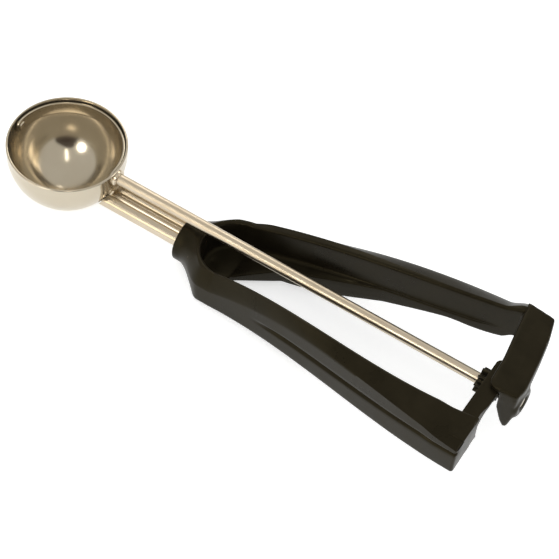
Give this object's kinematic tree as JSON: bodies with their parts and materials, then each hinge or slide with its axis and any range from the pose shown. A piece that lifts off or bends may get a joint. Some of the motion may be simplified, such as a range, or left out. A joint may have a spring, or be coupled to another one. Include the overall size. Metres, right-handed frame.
{
  "type": "lever ice cream scoop",
  "caption": "Squeeze-handle ice cream scoop: steel bowl with a swept scraper blade, turned by a rack and pinion in a black moulded handle.",
  "frame": {"origin": "middle of the object's length and width, at the lowest point of the bowl", "axes": "+X from the bowl to the handle's ends along the ejector rod, +Z out of the bowl's mouth, +Y towards the grip that carries the end block"},
  "size_m": [0.2276, 0.0692, 0.0338],
  "materials": {
    "polished_steel": "polished stainless sheet, mirror-like inside the bowl",
    "drawn_steel": "drawn stainless bar and pressed strap, satin along its length",
    "black_plastic": "satin moulded nylon",
    "gear_plastic": "plain moulded gear"
  },
  "bodies": {
    "frame": {"bowl": "polished_steel", "rear_bush": "drawn_steel", "shank": "drawn_steel", "handle_neck": "black_plastic", "far_grip": "black_plastic", "end_block": "black_plastic"},
    "squeeze_grip": {"near_grip": "black_plastic", "rack_bar": "black_plastic"},
    "ejector": {"ejector_rod": "drawn_steel", "scraper_blade": "polished_steel", "front_pivot_pin": "polished_steel", "pinion": "gear_plastic"}
  },
  "joints": [
    {"name": "grip_squeeze", "type": "hinge", "parent": "frame", "child": "squeeze_grip", "pos_m": [-0.0117, -0.0068, 0.0235], "axis": [0, 0, 1], "range_deg": [0, 6.29], "stiffness_Nm_per_rad": 2, "springref_deg": -2.86},
    {"name": "ejector_turn", "type": "hinge", "parent": "frame", "child": "ejector", "pos_m": [-0.08915, 0, 0.0235], "axis": [1, 0, 0], "range_deg": [-176, 0]}
  ],
  "couplings": [
    {"joint": "ejector_turn", "follows": "grip_squeeze", "ratio": -27.962}
  ]
}
